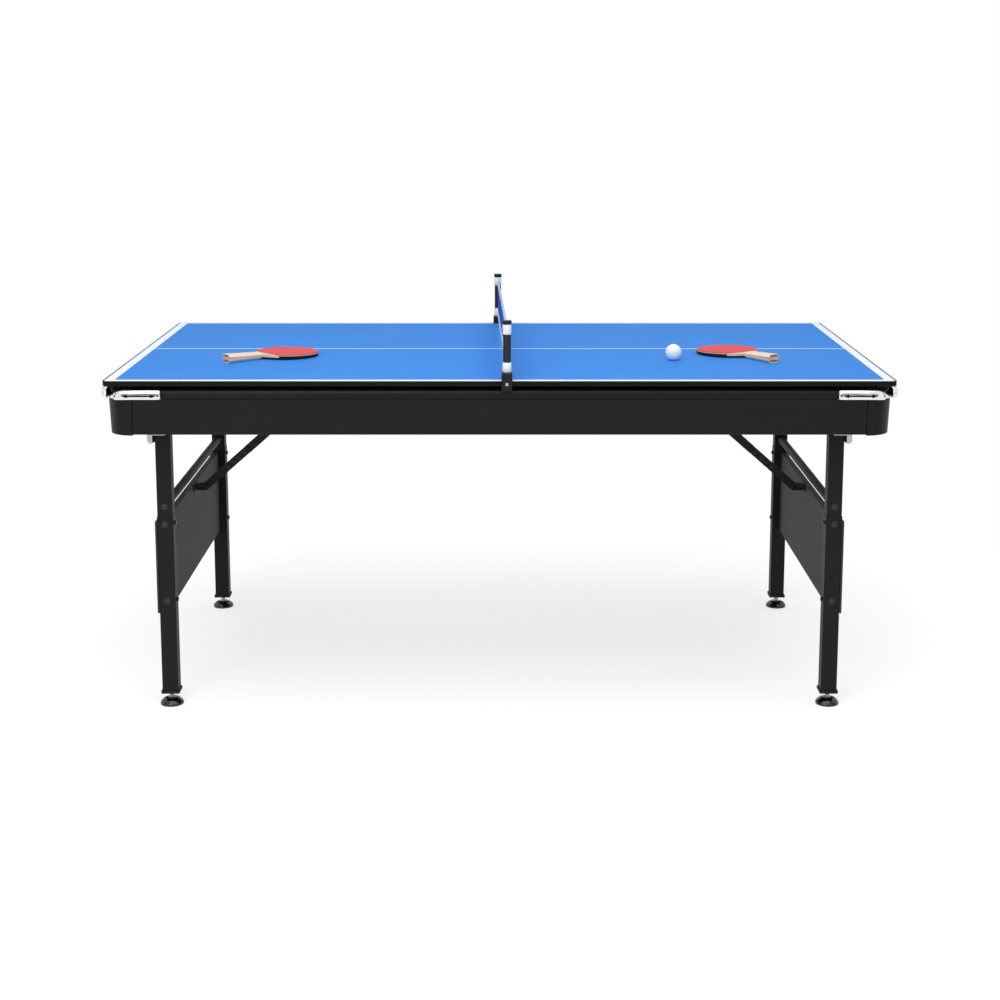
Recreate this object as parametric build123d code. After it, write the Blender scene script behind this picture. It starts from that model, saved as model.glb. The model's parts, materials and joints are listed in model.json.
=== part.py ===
from build123d import *
import math
import os

os.makedirs("parts", exist_ok=True)

# A folding games table carrying a lift-off table-tennis top, with its net, two bats and ball.
# Millimetres. Origin on the floor under the middle of the table, X along the table, Y across it,
# Z up. "left" is -X, "right" is +X, "front" is -Y and "rear" is +Y.
# Pieces are drawn in the right rear quarter and mirrored to the others.

# ---------------------------------------------------------------- driving dimensions
# playing top
top_length = 1830.0
top_width = 1000.0
playing_height = 810.0
top_thickness = 12.0
top_corner_radius = 15.0
edge_band_thickness = 2.5
pad_thickness = 9.0
pad_length = 60.0
pad_width = 25.0
pad_spacing = 400.0
pads_per_side = 4

# cabinet
cabinet_overhang = 3.0
rail_height = 22.0
rail_width = 80.0
rail_edge_chamfer = 5.0
apron_height = 84.0
apron_thickness = 15.0
apron_taper = 3.5
corner_radius = 64.0
corner_drop = 2.0
bed_thickness = 12.0
ledger_width = 25.0
ledger_depth = 40.0
centre_bearer_width = 60.0
corner_block_size = 50.0
corner_block_chamfer = 20.0
hinge_block_reach = 20.0

# chrome corner castings
casting_height = 24.0
casting_arm = 133.0
casting_proud = 12.5
casting_band_proud = 5.0
casting_band_height = 11.0
casting_nose_offset = 22.0
casting_nose_slope = 28.0
casting_chamfer = 4.0
casting_drop = 1.0
casting_slot_length = 79.0
casting_slot_height = 8.0
casting_slot_depth = 2.5
casting_slot_inset = 10.0

# leg frames
leg_end_inset = 120.0
leg_side_inset = 100.0
upper_leg_size = 36.0
upper_leg_wall = 2.0
lower_leg_wall = 1.2
leg_overlap = 60.0
leg_corner_chamfer = 2.0
sleeve_height = 470.0
leg_clearance_height = 38.0
pivot_drop = 31.0
pivot_outset = 5.0
pivot_bolt_diameter = 8.0
pivot_bolt_head = 15.0
pivot_bolt_head_height = 5.0
leg_above_pivot = 14.0
cross_tube_diameter = 20.0
cross_tube_rise = 24.0

# end panels
panel_height = 226.0
panel_drop = 12.0
panel_sheet = 1.5
panel_flange = 14.0
panel_lap_thickness = 5.0
panel_angle_leg = 14.0
panel_angle_sheet = 2.0

# hinge brackets
bracket_sheet = 2.5
bracket_base_width = 84.0
bracket_ear_width = 12.5
bracket_ear_drop = 37.0
bracket_cheek_drop = 17.0
bracket_reach_in = 17.0
bracket_reach_out = 30.5
bracket_corner = 5.0
stop_size = 16.0
stop_rise = 2.0
stop_chamfer = 2.0

# folding braces
brace_stow_length = 100.0
brace_lug_gap = 7.0
brace_lug_drop = 12.0
brace_depth = 20.0
brace_bar_thickness = 6.0
brace_channel_width = 24.0
brace_channel_sheet = 2.5
brace_fork_clearance = 26.0
brace_web_inset = 18.0
brace_pin_diameter = 8.0
brace_pin_head = 12.0
brace_pin_head_height = 2.5
brace_lug_sheet = 3.0
brace_lug_width = 18.0
brace_lug_foot = 44.0
brace_rivet_size = 9.0
brace_rivet_head = 13.0
brace_rivet_head_height = 3.0
brace_rivet_gap = 1.8
hanger_width = 30.0
hanger_foot = 18.0
hanger_tip_width = 12.0

# levelling feet and leg caps
foot_diameter = 56.0
foot_rim = 4.5
foot_neck = 7.0
foot_dome_bulge = 3.5
foot_height = 17.0
foot_stem_diameter = 10.0
foot_stem_length = 52.0
foot_nut_size = 17.0
foot_nut_height = 6.0
cap_flare = 3.0
cap_flange = 7.0
cap_plug = 18.0

# net set
net_post_diameter = 20.0
net_post_height = 140.0
net_post_inset = 8.0
net_front_shift = 17.0
net_rear_shift = -5.0
net_cap_height = 9.0
net_cap_proud = 0.8
net_clamp_width = 25.0
net_clamp_height = 20.0
net_clamp_wall = 8.0
net_clamp_depth = 34.0
net_clamp_drop = 24.0
net_jaw_thickness = 6.0
net_clamp_chamfer = 2.0
net_height = 110.0
net_thickness = 2.5
net_screw_size = 8.0
net_screw_height = 2.5

# bats and ball
bat_blade_width = 150.0
bat_blade_length = 158.0
bat_blade_thickness = 6.0
bat_rubber_thickness = 2.0
bat_handle_length = 100.0
bat_handle_width = 26.0
bat_handle_flare = 34.0
bat_handle_thickness = 22.0
bat_neck_thickness = 17.0
bat_neck_length = 8.0
bat_scale_start = 8.0
bat_waist = 72.0
bat_waist_thickness = 20.0
bat_rubber_gap = 22.0
bat_rubber_inset = 0.5
left_bat_end_inset = 381.0
left_bat_side_inset = 382.0
left_bat_turn = 221.0
right_bat_end_inset = 339.0
right_bat_side_inset = 416.0
right_bat_turn = -58.0
ball_diameter = 40.0
ball_end_inset = 486.0
ball_side_inset = 308.0

# clearances
soft_gap = 0.3
seam_gap = 0.4
running_fit = 0.05
side_play = 0.5

# ---------------------------------------------------------------- derived places
top_underside = playing_height - top_thickness
rail_top = top_underside - pad_thickness
bed_top = rail_top - rail_height
bed_underside = bed_top - bed_thickness
ledger_bottom = bed_underside - ledger_depth

cabinet_x = top_length / 2 - cabinet_overhang
cabinet_y = top_width / 2 - cabinet_overhang
apron_inner_x = cabinet_x - apron_thickness
apron_inner_y = cabinet_y - apron_thickness
inner_radius = corner_radius - apron_thickness

leg_x = top_length / 2 - leg_end_inset
leg_y = top_width / 2 - leg_side_inset
lower_leg_size = upper_leg_size + 2 * lower_leg_wall
pivot_x = leg_x + pivot_outset
pivot_height = ledger_bottom - pivot_drop
cross_tube_height = sleeve_height + cross_tube_rise
panel_top = sleeve_height - panel_drop
panel_bottom = panel_top - panel_height

# the brace in inward (u) and upward (w) distances from the leg's pivot, legs standing
lug_u = pivot_outset + cross_tube_diameter / 2 + brace_depth / 2 + brace_lug_gap
lug_w = panel_top - brace_lug_drop - pivot_height
hanger_u = -lug_w + brace_stow_length
hanger_w = lug_u
brace_span = math.hypot(hanger_u - lug_u, hanger_w - lug_w)
brace_upper_length = (brace_span + brace_stow_length) / 2
brace_lower_length = (brace_span - brace_stow_length) / 2
brace_slope = math.degrees(math.atan2(hanger_w - lug_w, hanger_u - lug_u))
lug_x = pivot_x - lug_u
lug_z = panel_top - brace_lug_drop
hanger_x = pivot_x - hanger_u
hanger_z = pivot_height + hanger_w

bat_places = {
    "left": (left_bat_end_inset - top_length / 2, left_bat_side_inset, left_bat_turn),
    "right": (top_length / 2 - right_bat_end_inset, right_bat_side_inset, right_bat_turn),
}

post_y = top_width / 2 - net_post_inset
post_bottom = playing_height + net_clamp_height

SIDES = {"left": -1, "right": 1}
DEPTHS = {"front": -1, "rear": 1}


# ---------------------------------------------------------------- helpers
def block(x0, x1, y0, y1, z0, z1):
    """A box between two corners."""
    return Pos((x0 + x1) / 2, (y0 + y1) / 2, (z0 + z1) / 2) * Box(x1 - x0, y1 - y0, z1 - z0)


def rod(radius, start, end):
    """A round bar between two points that share two coordinates."""
    axis = Vector(*end) - Vector(*start)
    return Plane(origin=start, z_dir=axis) * Cylinder(
        radius, axis.length, align=(Align.CENTER, Align.CENTER, Align.MIN)
    )


def rounded_prism(length, width, radius, z0, z1):
    """An upright prism with rounded plan corners, centred on the origin."""
    return Pos(0, 0, z0) * extrude(RectangleRounded(length, width, radius), z1 - z0)


def square_tube(size, wall, z0, z1):
    """A square tube at a leg's place in the right rear quarter."""
    outer = chamfer(Rectangle(size, size).vertices(), leg_corner_chamfer)
    inner = Rectangle(size - 2 * wall, size - 2 * wall)
    return Pos(leg_x, leg_y, z0) * extrude(outer - inner, z1 - z0)


def fastener(size, height, place, direction, sides=6):
    """A bolt head, nut or rivet head that stands on a face, drawn with flat sides."""
    plane = Plane(origin=place, z_dir=direction)
    return extrude(plane * RegularPolygon(size / 2, sides), height)


def eased_rectangle(width, height, ease):
    """A rectangle with its corners cut off."""
    return chamfer(Rectangle(width, height).vertices(), ease)


def mirrored(shape, side, depth=1):
    """A copy of a right rear piece on another side of the table."""
    if side < 0:
        shape = mirror(shape, about=Plane.YZ)
    if depth < 0:
        shape = mirror(shape, about=Plane.XZ)
    return shape


def four(shape):
    """The piece in all four quarters."""
    return [mirrored(shape, s, d) for s in SIDES.values() for d in DEPTHS.values()]


def both_depths(shape, side):
    """The piece at the front and the rear of one side."""
    return [mirrored(shape, side, d) for d in DEPTHS.values()]


def solids(shapes):
    """All the solids in a list of shapes."""
    return [solid for shape in shapes for solid in shape.solids()]


def save(node, *shapes):
    """Writes one node, which may hold several solids."""
    found = solids(shapes)
    part = found[0] if len(found) == 1 else Compound(children=found)
    export_step(part, f"parts/{node}.step")


# ---------------------------------------------------------------- playing top
def top_board():
    return rounded_prism(
        top_length - 2 * edge_band_thickness,
        top_width - 2 * edge_band_thickness,
        top_corner_radius - edge_band_thickness,
        top_underside,
        playing_height,
    )


def top_edge_band():
    """The T-moulding round the board's edge."""
    outer = rounded_prism(
        top_length, top_width, top_corner_radius, top_underside, playing_height
    )
    return outer - top_board()


def support_pads():
    """Foam strips glued under the top, which rest on the rails."""
    line_y = cabinet_y - rail_width / 2
    line_x = cabinet_x - rail_width / 2
    length, width = pad_length / 2, pad_width / 2
    low, high = rail_top + soft_gap, top_underside
    pads = [
        block(x - width, x + width, -length, length, low, high) for x in (-line_x, line_x)
    ]
    for number in range(pads_per_side):
        x = (number - (pads_per_side - 1) / 2) * pad_spacing
        for y in (-line_y, line_y):
            pads.append(block(x - length, x + length, y - width, y + width, low, high))
    return pads


# ---------------------------------------------------------------- cabinet
def rail_ring():
    """The four rails before they are mitred, with the outer top edge eased."""
    outer = rounded_prism(2 * cabinet_x, 2 * cabinet_y, corner_radius, bed_top, rail_top)
    outer = chamfer(outer.faces().sort_by(Axis.Z)[-1].edges(), rail_edge_chamfer)
    hole = block(
        rail_width - cabinet_x, cabinet_x - rail_width,
        rail_width - cabinet_y, cabinet_y - rail_width,
        bed_top, rail_top,
    )
    return outer - hole


def mitre(along_x, sign):
    """The wedge that cuts one rail from the ring at 45 degrees, a seam's width short."""
    half, out = (cabinet_x, cabinet_y) if along_x else (cabinet_y, cabinet_x)
    depth = rail_width + seam_gap
    tips = [(-half, out), (half, out), (half - depth, out - depth), (depth - half, out - depth)]
    shift = seam_gap / 2 * math.sqrt(2)
    tips = [(a - math.copysign(shift, a), sign * b) for a, b in tips]
    points = tips if along_x else [(b, a) for a, b in tips]
    return Pos(0, 0, bed_top) * extrude(make_face(Polyline(*points, close=True)), rail_height)


def apron_ring(height):
    """The aprons and corner mouldings in one ring, tapering in towards the bottom."""
    taper = math.degrees(math.atan(apron_taper / apron_height))
    plan = RectangleRounded(2 * cabinet_x, 2 * cabinet_y, corner_radius)
    outer = extrude(Plane((0, 0, bed_top), z_dir=(0, 0, -1)) * plan, height, taper=taper)
    inner = rounded_prism(
        2 * apron_inner_x, 2 * apron_inner_y, inner_radius, bed_top - height, bed_top
    )
    return outer - inner


def apron(ring, along_x, sign):
    """One straight apron, cut from the ring between two corner mouldings."""
    half, out = (cabinet_x, cabinet_y) if along_x else (cabinet_y, cabinet_x)
    end = half - corner_radius - seam_gap / 2
    near, far = sorted((sign * (out - corner_radius), sign * out))
    low = bed_top - apron_height
    if along_x:
        return ring & block(-end, end, near, far, low, bed_top)
    return ring & block(near, far, -end, end, low, bed_top)


def corner_moulding(ring):
    """The round corner between two aprons, which hangs a little lower than they do."""
    x0 = cabinet_x - corner_radius + seam_gap / 2
    y0 = cabinet_y - corner_radius + seam_gap / 2
    low = bed_top - apron_height - corner_drop
    return ring & block(x0, cabinet_x, y0, cabinet_y, low, bed_top)


def bed_board():
    """The board that carries the rails, cut across its corners to clear the mouldings."""
    plan = eased_rectangle(2 * apron_inner_x, 2 * apron_inner_y, inner_radius + seam_gap)
    return Pos(0, 0, bed_underside) * extrude(plan, bed_thickness)


def bed_bearers():
    """Ledger strips inside the aprons and one bearer across the middle."""
    x_end = apron_inner_x - corner_block_size - seam_gap
    y_end = apron_inner_y - corner_block_size - seam_gap
    inner_y = apron_inner_y - ledger_width
    long_ledger = block(-x_end, x_end, inner_y, apron_inner_y, ledger_bottom, bed_underside)
    short_ledger = block(
        apron_inner_x - ledger_width, apron_inner_x, -y_end, y_end, ledger_bottom, bed_underside
    )
    middle = centre_bearer_width / 2
    bearer = block(-middle, middle, -inner_y, inner_y, ledger_bottom, bed_underside)
    return [
        long_ledger, mirrored(long_ledger, 1, -1),
        short_ledger, mirrored(short_ledger, -1),
        bearer,
    ]


def corner_block():
    """The block that the corner moulding and both aprons are screwed to."""
    inside = rounded_prism(
        2 * apron_inner_x, 2 * apron_inner_y, inner_radius, ledger_bottom, bed_underside
    )
    corner = inside & block(
        apron_inner_x - corner_block_size, apron_inner_x,
        apron_inner_y - corner_block_size, apron_inner_y,
        ledger_bottom, bed_underside,
    )
    inner_edge = corner.edges().filter_by(Axis.Z).sort_by(lambda e: e.center().X + e.center().Y)[0]
    return chamfer(inner_edge, corner_block_chamfer)


def hinge_block():
    """The block under the bed that one hinge bracket is screwed to."""
    half = bracket_base_width / 2
    return block(
        pivot_x - bracket_reach_in - hinge_block_reach, apron_inner_x - corner_block_size - seam_gap,
        leg_y - half, apron_inner_y - ledger_width, ledger_bottom, bed_underside,
    )


# ---------------------------------------------------------------- corner castings
def casting_band():
    """The low band of the casting, which follows the rail round the corner."""
    radius = corner_radius + casting_band_proud
    low = bed_top - casting_drop
    high = low + casting_band_height
    outer = rounded_prism(
        2 * (cabinet_x + casting_band_proud), 2 * (cabinet_y + casting_band_proud), radius,
        low, high,
    )
    inner = rounded_prism(2 * cabinet_x, 2 * cabinet_y, corner_radius, low, high)
    corner = block(
        cabinet_x - casting_arm, cabinet_x + casting_proud,
        cabinet_y - casting_arm, cabinet_y + casting_proud, low, high,
    )
    return (outer - inner) & corner


def casting_pad():
    """The raised bullet of one arm, its nose at x = 0, its back on XZ and its slot sunk outside."""
    length = casting_arm - casting_nose_offset
    nose = casting_height / 3
    side = make_face(Polyline(
        (-length, casting_height), (-length, 0), (-nose / 2, 0), (0, nose),
        (-casting_nose_slope / 4, casting_height * 0.75), (-casting_nose_slope, casting_height),
        close=True,
    ))
    pad = extrude(Plane.XZ * side, -casting_proud)
    outside = pad.faces().sort_by(Axis.Y)[-1]
    pad = chamfer(outside.edges().filter_by(Axis.X), casting_chamfer)
    middle = casting_slot_inset + casting_slot_length / 2 - length
    slot = Plane((middle, casting_proud, casting_height / 2), x_dir=(1, 0, 0), z_dir=(0, -1, 0))
    outline = eased_rectangle(casting_slot_length, casting_slot_height, casting_slot_height / 3)
    return pad - extrude(slot * outline, casting_slot_depth)


def casting_arms():
    """Both arms' pads in place against the rails."""
    low = bed_top - casting_drop
    along_x = Pos(cabinet_x - casting_nose_offset, cabinet_y, low) * casting_pad()
    turned = mirror(casting_pad(), about=Plane.YZ)
    along_y = Pos(cabinet_x, cabinet_y - casting_nose_offset, low) * Rot(0, 0, -90) * turned
    return [along_x, along_y]


def corner_casting():
    return casting_band() + casting_arms()[0] + casting_arms()[1]


# ---------------------------------------------------------------- hinge brackets
def hinge_bracket():
    """A pressed saddle: a base, two cheeks with an ear each for the stop, and the pivot bolt."""
    inner = upper_leg_size / 2 + side_play
    outer = inner + bracket_sheet
    x_in = pivot_x - bracket_reach_in
    x_out = pivot_x + bracket_reach_out
    x_ear = x_out - bracket_ear_width
    top = ledger_bottom - bracket_sheet
    cheek_low = pivot_height - bracket_cheek_drop
    ear_low = pivot_height - bracket_ear_drop
    face = make_face(Polyline(
        (x_in, top), (x_out, top), (x_out, ear_low + bracket_corner),
        (x_out - bracket_corner, ear_low), (x_ear, ear_low), (x_ear, cheek_low),
        (x_in + bracket_corner, cheek_low), (x_in, cheek_low + bracket_corner), close=True,
    ))
    base = block(
        x_in, x_out, leg_y - bracket_base_width / 2, leg_y + bracket_base_width / 2,
        top, ledger_bottom,
    )
    cheek = Pos(0, leg_y + outer, 0) * extrude(Plane.XZ * face, bracket_sheet)
    other = Pos(0, -inner - outer, 0) * cheek
    far, near = (pivot_x, leg_y + outer, pivot_height), (pivot_x, leg_y - outer, pivot_height)
    shank_far, shank_near = (
        (pivot_x, leg_y + inner, pivot_height), (pivot_x, leg_y - inner, pivot_height)
    )
    bolt = rod(pivot_bolt_diameter / 2, shank_near, shank_far)
    head = fastener(pivot_bolt_head, pivot_bolt_head_height, far, (0, 1, 0))
    nut = fastener(pivot_bolt_head, pivot_bolt_head_height, near, (0, -1, 0))
    return base + cheek + other + bolt + head + nut


def stop_buffer():
    """The rubber block between the ears, which the standing leg leans on."""
    x = leg_x + upper_leg_size / 2 + soft_gap
    z = pivot_height - bracket_ear_drop + stop_rise
    inner = upper_leg_size / 2 + side_play
    rubber = block(x, x + stop_size, leg_y - inner, leg_y + inner, z, z + stop_size)
    return chamfer(rubber.edges().filter_by(Axis.Y), stop_chamfer)


# ---------------------------------------------------------------- leg frames
def upper_leg():
    """The tube that turns on the pivot bolt and plugs into the lower leg."""
    tube = square_tube(
        upper_leg_size, upper_leg_wall, sleeve_height - leg_overlap,
        pivot_height + leg_above_pivot,
    )
    return tube - rod(
        pivot_bolt_diameter / 2 + running_fit,
        (pivot_x, leg_y - upper_leg_size, pivot_height),
        (pivot_x, leg_y + upper_leg_size, pivot_height),
    )


def lower_leg():
    return square_tube(lower_leg_size, lower_leg_wall, leg_clearance_height, sleeve_height)


def cross_tube():
    """The round bar between the legs, above the panel."""
    end = leg_y - upper_leg_size / 2
    return rod(
        cross_tube_diameter / 2, (leg_x, -end, cross_tube_height), (leg_x, end, cross_tube_height)
    )


def end_panel():
    """A shallow folded tray between the legs, open outwards, whose ends lap over their outer faces."""
    half = leg_y - lower_leg_size / 2
    web = leg_x - panel_sheet / 2
    face = leg_x + lower_leg_size / 2
    tray = block(
        web, leg_x + panel_flange, -half, half, panel_bottom, panel_top
    )
    tray -= block(
        web + panel_sheet, leg_x + panel_flange, panel_sheet - half, half - panel_sheet,
        panel_bottom + panel_sheet, panel_top - panel_sheet,
    )
    end = block(web, face, half - panel_sheet, half, panel_bottom, panel_top)
    end += block(
        face, face + panel_lap_thickness, half - panel_sheet, half + lower_leg_size,
        panel_bottom, panel_top,
    )
    return tray + end + mirrored(end, 1, -1)


def panel_angle():
    """The angle that ties the web to the leg's face on the inner side."""
    face_y = leg_y - lower_leg_size / 2
    web = leg_x - panel_sheet / 2
    on_web = block(
        web - panel_angle_sheet, web, face_y - panel_angle_leg, face_y, panel_bottom, panel_top
    )
    on_leg = block(
        web - panel_angle_leg, web, face_y - panel_angle_sheet, face_y, panel_bottom, panel_top
    )
    return on_web + on_leg


def leg_cap():
    """The flared plastic cap at the leg's end, with the bore for the foot's stem."""
    size = lower_leg_size + 2 * cap_flare
    z = leg_clearance_height
    plan = eased_rectangle(size, size, leg_corner_chamfer)
    flange = Pos(leg_x, leg_y, z - cap_flange) * extrude(plan, cap_flange)
    inside = lower_leg_size - 2 * lower_leg_wall
    plug = Pos(leg_x, leg_y, z + cap_plug / 2) * Box(inside, inside, cap_plug)
    return flange + plug - rod(
        foot_stem_diameter / 2 + running_fit,
        (leg_x, leg_y, z - cap_flange), (leg_x, leg_y, z + cap_plug),
    )


# ---------------------------------------------------------------- levelling feet
def levelling_foot():
    """A domed foot on a threaded stem, with the nut that locks it under the leg's cap."""
    rim = foot_diameter / 2
    stem = foot_stem_diameter / 2
    top = foot_height + foot_stem_length
    dome = SagittaArc((rim, foot_rim), (foot_neck, foot_height), -foot_dome_bulge)
    rest = Polyline(
        (foot_neck, foot_height), (stem, foot_height), (stem, top), (0, top), (0, 0), (rim, 0),
        (rim, foot_rim)
    )
    profile = make_face([dome, rest])
    foot = Pos(leg_x, leg_y, 0) * revolve(Plane.XZ * profile, Axis.Z)
    nut_top = leg_clearance_height - cap_flange - soft_gap
    return foot + fastener(
        foot_nut_size, foot_nut_height, (leg_x, leg_y, nut_top - foot_nut_height), (0, 0, 1)
    )


# ---------------------------------------------------------------- folding braces
def on_brace(x, z):
    """Places a brace piece, drawn back from a pivot along -X, at the standing slope."""
    return Pos(x, 0, z) * Rot(0, brace_slope, 0)


def brace_plate(length, near, far):
    """A plate along -X between two distances from the brace's middle plane, eased at its ends."""
    plane = Plane((-length / 2, near, 0), x_dir=(1, 0, 0), z_dir=(0, 1, 0))
    outline = eased_rectangle(length + brace_depth, brace_depth, brace_depth * 0.3)
    return extrude(plane * outline, far - near)


def brace_lower_link():
    """The bar between the panel's lug and the middle pivot."""
    half = brace_bar_thickness / 2
    bar = brace_plate(brace_lower_length, -half, half)
    bore = rod(brace_pin_diameter / 2 + running_fit, (0, -half, 0), (0, half, 0))
    return on_brace(lug_x, lug_z) * (bar - bore)


def brace_upper_link():
    """The forked channel from the hanger, with half a rivet in each cheek of the fork."""
    outer = brace_channel_width / 2
    inner = outer - brace_channel_sheet
    length = brace_upper_length
    channel = brace_plate(length, inner, outer) + brace_plate(length, -outer, -inner)
    top = brace_depth / 2
    channel += block(
        brace_web_inset - length, -brace_lower_length - brace_fork_clearance, -inner, inner,
        top - brace_channel_sheet, top,
    )
    channel -= rod(
        brace_pin_diameter / 2 + running_fit, (-length, -outer, 0), (-length, outer, 0)
    )
    stub_end = brace_bar_thickness / 2 + brace_rivet_gap
    for sign in (-1, 1):
        channel += fastener(
            brace_rivet_size, inner - stub_end, (0, sign * stub_end, 0), (0, sign, 0)
        )
        channel += fastener(
            brace_rivet_head, brace_rivet_head_height, (0, sign * outer, 0), (0, sign, 0)
        )
    slope = math.radians(brace_slope)
    x = lug_x - brace_lower_length * math.cos(slope)
    z = lug_z + brace_lower_length * math.sin(slope)
    return on_brace(x, z) * channel


def brace_lug():
    """The bracket riveted to the panel's inner face, with the lower link's pin through it."""
    half = brace_lug_width / 2
    ease = half * 0.4
    near = brace_bar_thickness / 2 + side_play
    web = leg_x - panel_sheet / 2
    reach = web - lug_x
    profile = make_face(Polyline(
        (reach, half), (-ease, half), (-half, ease), (-half, -ease), (-ease, -half),
        (reach, -half), close=True,
    ))
    plane = Plane((lug_x, near, lug_z), x_dir=(1, 0, 0), z_dir=(0, 1, 0))
    cheek = extrude(plane * profile, brace_lug_sheet)
    base = block(
        web - brace_lug_sheet, web, -brace_lug_foot / 2, brace_lug_foot / 2,
        lug_z - half, lug_z + half,
    )
    pin = brace_pin(lug_x, lug_z, near, near + brace_lug_sheet)
    return base + cheek + mirrored(cheek, 1, -1) + pin


def brace_hanger():
    """The bracket under the bed and the pin that the upper link hangs on."""
    near = brace_channel_width / 2 + side_play
    far = near + bracket_sheet
    reach, tip = hanger_width / 2, hanger_tip_width / 2
    low = hanger_z - brace_depth / 2
    cheek = make_face(Polyline(
        (hanger_x - reach, bed_underside), (hanger_x + reach, bed_underside),
        (hanger_x + reach, hanger_z), (hanger_x + tip, low), (hanger_x - tip, low),
        (hanger_x - reach, hanger_z), close=True,
    ))
    cheek = extrude(Plane.XZ.offset(-far) * cheek, bracket_sheet)
    base = block(
        hanger_x - reach, hanger_x + reach, -far - hanger_foot, far + hanger_foot,
        bed_underside - bracket_sheet, bed_underside,
    )
    return base + cheek + mirrored(cheek, 1, -1) + brace_pin(hanger_x, hanger_z, near, far)


def brace_pin(x, z, inner, outer):
    """A headed pin across the brace between two plates that it is riveted to."""
    pin = rod(brace_pin_diameter / 2, (x, -inner, z), (x, inner, z))
    for sign in (-1, 1):
        place = (x, sign * outer, z)
        pin += fastener(brace_pin_head, brace_pin_head_height, place, (0, sign, 0))
    return pin


# ---------------------------------------------------------------- net set
def net_clamp():
    """The clip over the table's edge: a seat on the top, a front wall and a jaw under it."""
    half = net_clamp_width / 2
    edge = top_width / 2
    outer = edge + soft_gap + net_clamp_wall
    inner = outer - net_clamp_depth
    seat = block(-half, half, inner, outer, playing_height + soft_gap, post_bottom)
    wall = block(
        -half, half, edge + soft_gap, outer, playing_height - net_clamp_drop, post_bottom
    )
    jaw_top = top_underside - soft_gap
    jaw = block(-half, half, inner, outer, jaw_top - net_jaw_thickness, jaw_top)
    clamp = seat + wall + jaw
    return chamfer(clamp.edges().filter_by(Axis.X).group_by(Axis.Y)[-1], net_clamp_chamfer)


def net_post():
    """The round post that stands on the clamp."""
    radius = net_post_diameter / 2
    top = playing_height + net_post_height - net_cap_height
    return rod(radius, (0, post_y, post_bottom), (0, post_y, top))


def net_post_cap():
    radius = net_post_diameter / 2 + net_cap_proud
    top = playing_height + net_post_height
    return rod(radius, (0, post_y, top - net_cap_height), (0, post_y, top))


def net_screw():
    """The screw in the clamp's outer wall."""
    z = playing_height - top_thickness / 2
    outer = top_width / 2 + soft_gap + net_clamp_wall
    return fastener(net_screw_size, net_screw_height, (0, outer, z), (0, 1, 0))


def net_sheet():
    """The net between the posts, whose clips stand a little out of line with each other."""
    across = net_rear_shift - net_front_shift
    span = math.hypot(2 * post_y, across) - net_post_diameter - 2 * soft_gap
    top = playing_height + net_post_height - net_cap_height
    place = Pos((net_front_shift + net_rear_shift) / 2, 0, top - net_height / 2)
    turn = Rot(0, 0, -math.degrees(math.atan2(across, 2 * post_y)))
    return place * turn * Box(net_thickness, span, net_height)


# ---------------------------------------------------------------- bats and ball
def blade_outline(inset):
    """A bat's blade in plan, with its handle end at the origin and its tip along +X."""
    half = bat_blade_width / 2 - inset
    neck = bat_handle_width / 2
    tip = bat_blade_length - inset
    start = inset * 2
    middle = bat_blade_length * 0.53
    shoulder = ThreePointArc(
        (start, neck), (bat_blade_length * 0.17, half * 0.72), (middle, half)
    )
    nose = ThreePointArc(
        (middle, half), (middle + (tip - middle) * 0.72, half * 0.7), (tip, 0)
    )
    top = [*shoulder.edges(), *nose.edges()]
    low = [mirror(edge, about=Plane.XZ) for edge in top]
    return make_face([*top, *low, Line((start, neck), (start, -neck))])


def handle_stations():
    """Where the handle's sections stand behind the blade, with each one's width and thickness."""
    return (
        (-bat_handle_length, bat_handle_flare, bat_handle_thickness),
        (-bat_waist, bat_handle_width, bat_waist_thickness),
        (-bat_neck_length, bat_handle_width, bat_neck_thickness),
        (0.0, bat_handle_width, bat_scale_start),
    )


def placed_bat(shape, side):
    """Lays a bat piece on the table on its blade's tip, tipped until the handle clears the top."""
    x, inset, turn = bat_places[side]
    y = inset - top_width / 2
    face = bat_blade_thickness / 2 + bat_rubber_thickness
    rises = [
        (thickness / 2 - face) / (bat_blade_length - back)
        for back, _, thickness in handle_stations()
    ]
    tip = math.degrees(math.atan(max(*rises, 0)))
    tipped = Rot(0, tip, 0) * Pos(-bat_blade_length, 0, 0) * shape
    lift = playing_height + soft_gap + face
    return Pos(x, y, lift) * Rot(0, 0, turn + 180) * Pos(bat_blade_length / 2, 0, 0) * tipped


def bat_blade(side):
    """The plywood blade with its tongue through the handle."""
    low = -bat_blade_thickness / 2
    blade = Pos(0, 0, low) * extrude(blade_outline(0), bat_blade_thickness)
    half = bat_handle_width / 2
    tongue = block(-bat_handle_length, 1, -half, half, low, -low)
    return placed_bat(blade + tongue, side)


def bat_rubber(side, sign):
    """One face's rubber, which stops short of the handle."""
    low = bat_blade_thickness / 2 if sign > 0 else -bat_blade_thickness / 2 - bat_rubber_thickness
    outline = blade_outline(bat_rubber_inset)
    bare = Rectangle(2 * bat_rubber_gap, 2 * bat_blade_width)
    rubber = Pos(0, 0, low) * extrude(outline - bare, bat_rubber_thickness)
    return placed_bat(rubber, side)


def bat_handle(side):
    """Two flared scales, eased on their backs and sloped at the blade, glued on the tongue."""
    sections = [
        Plane((x, 0, 0), x_dir=(0, 1, 0), z_dir=(1, 0, 0))
        * eased_rectangle(width, thickness, thickness * 0.3)
        for x, width, thickness in handle_stations()
    ]
    grip = loft(sections, ruled=True)
    half = bat_blade_thickness / 2
    grip -= block(-bat_handle_length, 0, -bat_handle_flare, bat_handle_flare, -half, half)
    return [placed_bat(scale, side) for scale in grip.solids()]


def ball():
    x = top_length / 2 - ball_end_inset
    y = ball_side_inset - top_width / 2
    return Pos(x, y, playing_height + soft_gap + ball_diameter / 2) * Sphere(ball_diameter / 2)


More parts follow.
